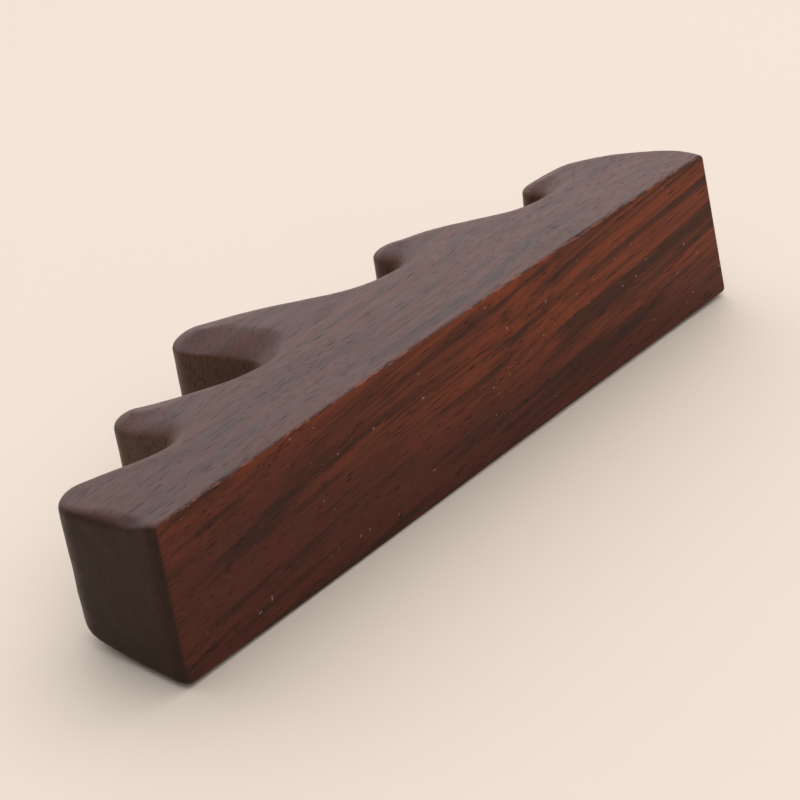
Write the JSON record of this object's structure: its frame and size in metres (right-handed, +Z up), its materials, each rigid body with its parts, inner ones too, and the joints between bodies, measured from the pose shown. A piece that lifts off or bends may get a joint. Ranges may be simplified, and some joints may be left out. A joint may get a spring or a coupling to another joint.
{
  "type": "calligraphy brush rest",
  "caption": "Hand-carved dark hardwood brush rest with a flat base and leaning wave-shaped crests, lying on its side.",
  "frame": {"origin": "under the middle of the bounding box, on the surface the block lies on", "axes": "+X along the length, from the low thick end to the end with the long sloping back; +Y from the standing base towards the crests; +Z up through the thickness as it lies"},
  "size_m": [0.143, 0.051, 0.0301],
  "materials": {
    "dark_rosewood": "hand-rubbed satin, dark red-brown with near-black figure and open pores"
  },
  "bodies": {
    "root": {"carved_block": "dark_rosewood"}
  },
  "joints": []
}
